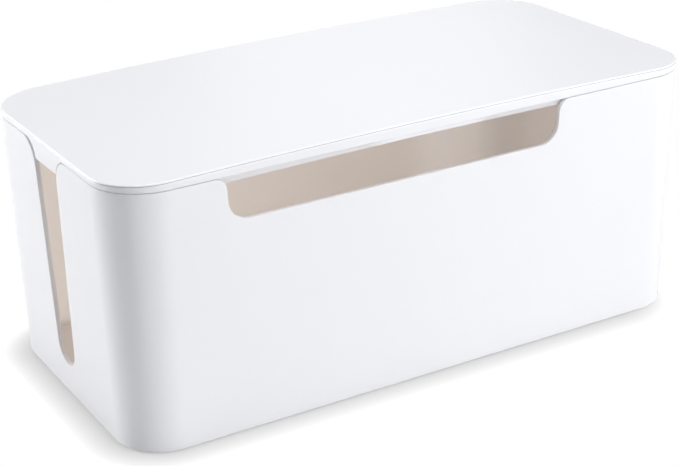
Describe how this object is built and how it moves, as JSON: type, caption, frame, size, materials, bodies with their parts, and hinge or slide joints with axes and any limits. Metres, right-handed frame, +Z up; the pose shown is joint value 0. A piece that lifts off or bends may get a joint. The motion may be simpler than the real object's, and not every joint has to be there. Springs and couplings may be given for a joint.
{
  "type": "cable management box",
  "caption": "Long white plastic box that hides a power strip and its cables, with an arched lift-off lid, a window in the front wall and a slot in each end.",
  "frame": {"origin": "on the table, under the middle of the box", "axes": "+X along the box's length towards its right end, +Y towards its back wall, +Z up"},
  "size_m": [0.4, 0.196, 0.1684],
  "materials": {
    "box_plastic": "satin white moulded plastic with a very fine grain",
    "lid_plastic": "satin white moulded plastic with a very fine grain",
    "foot_rubber": "matt pale grey rubber"
  },
  "bodies": {
    "box": {"box_body": "box_plastic", "foot_front_left": "foot_rubber", "foot_front_right": "foot_rubber", "foot_back_right": "foot_rubber", "foot_back_left": "foot_rubber"},
    "lid": {"lid": "lid_plastic"}
  },
  "joints": [
    {"name": "lid_lift", "type": "slide", "parent": "box", "child": "lid", "axis": [0, 0, 1], "range_m": [0, 0.2]}
  ]
}
